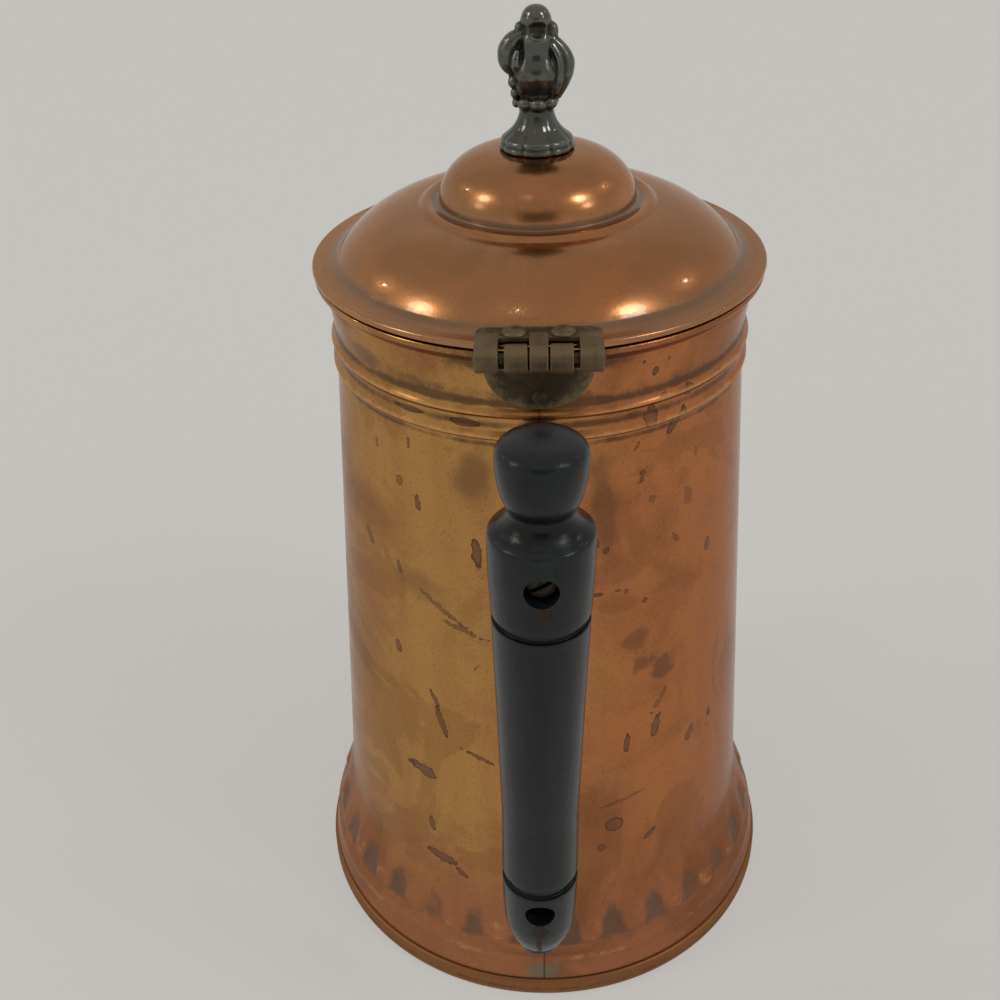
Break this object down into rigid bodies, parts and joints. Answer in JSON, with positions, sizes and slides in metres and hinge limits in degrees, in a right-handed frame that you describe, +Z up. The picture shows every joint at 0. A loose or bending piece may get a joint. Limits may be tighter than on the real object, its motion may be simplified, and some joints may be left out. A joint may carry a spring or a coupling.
{
  "type": "coffee pot",
  "caption": "Tall tapered copper coffee pot with a fluted base, a hinged domed lid with a scroll finial, a gooseneck spout and a turned black side handle.",
  "frame": {"origin": "on the pot's axis, in the plane it stands on", "axes": "+Z up, -Y towards the handle, +Y towards the spout, +X along the lid hinge"},
  "size_m": [0.1448, 0.2088, 0.2683],
  "materials": {
    "copper": "worn, softly polished copper with drip stains and brown patina",
    "tinned": "dull tinned copper",
    "brass": "dull olive-brown patinated brass",
    "pewter": "dark grey cast white metal, worn bright on its ridges",
    "iron": "dark tarnished metal",
    "black_wood": "semi-gloss black paint on turned wood, chipped in places"
  },
  "bodies": {
    "body": {"body_shell": "copper", "bottom_plate": "copper", "spout": "copper", "spout_strainer": "tinned", "handle_bracket_upper": "iron", "handle_bracket_lower": "iron", "bracket_rivet_upper_high": "copper", "bracket_rivet_upper_low": "copper", "bracket_rivet_lower_low": "copper", "bracket_rivet_lower_high": "copper", "handle": "black_wood", "handle_screw_upper": "iron", "handle_screw_lower": "iron", "hinge_body_leaf": "brass", "hinge_body_rivet": "iron", "hinge_pin": "brass"},
    "lid": {"lid": "copper", "lid_inner_collar": "tinned", "hinge_lid_leaf": "brass", "lid_rivet_left": "brass", "lid_rivet_right": "brass", "finial": "pewter", "finial_washer": "tinned", "finial_screw": "iron"}
  },
  "joints": [
    {"name": "lid_hinge", "type": "hinge", "parent": "body", "child": "lid", "pos_m": [0, -0.0616, 0.2081], "axis": [1, 0, 0], "range_deg": [0, 105]}
  ]
}
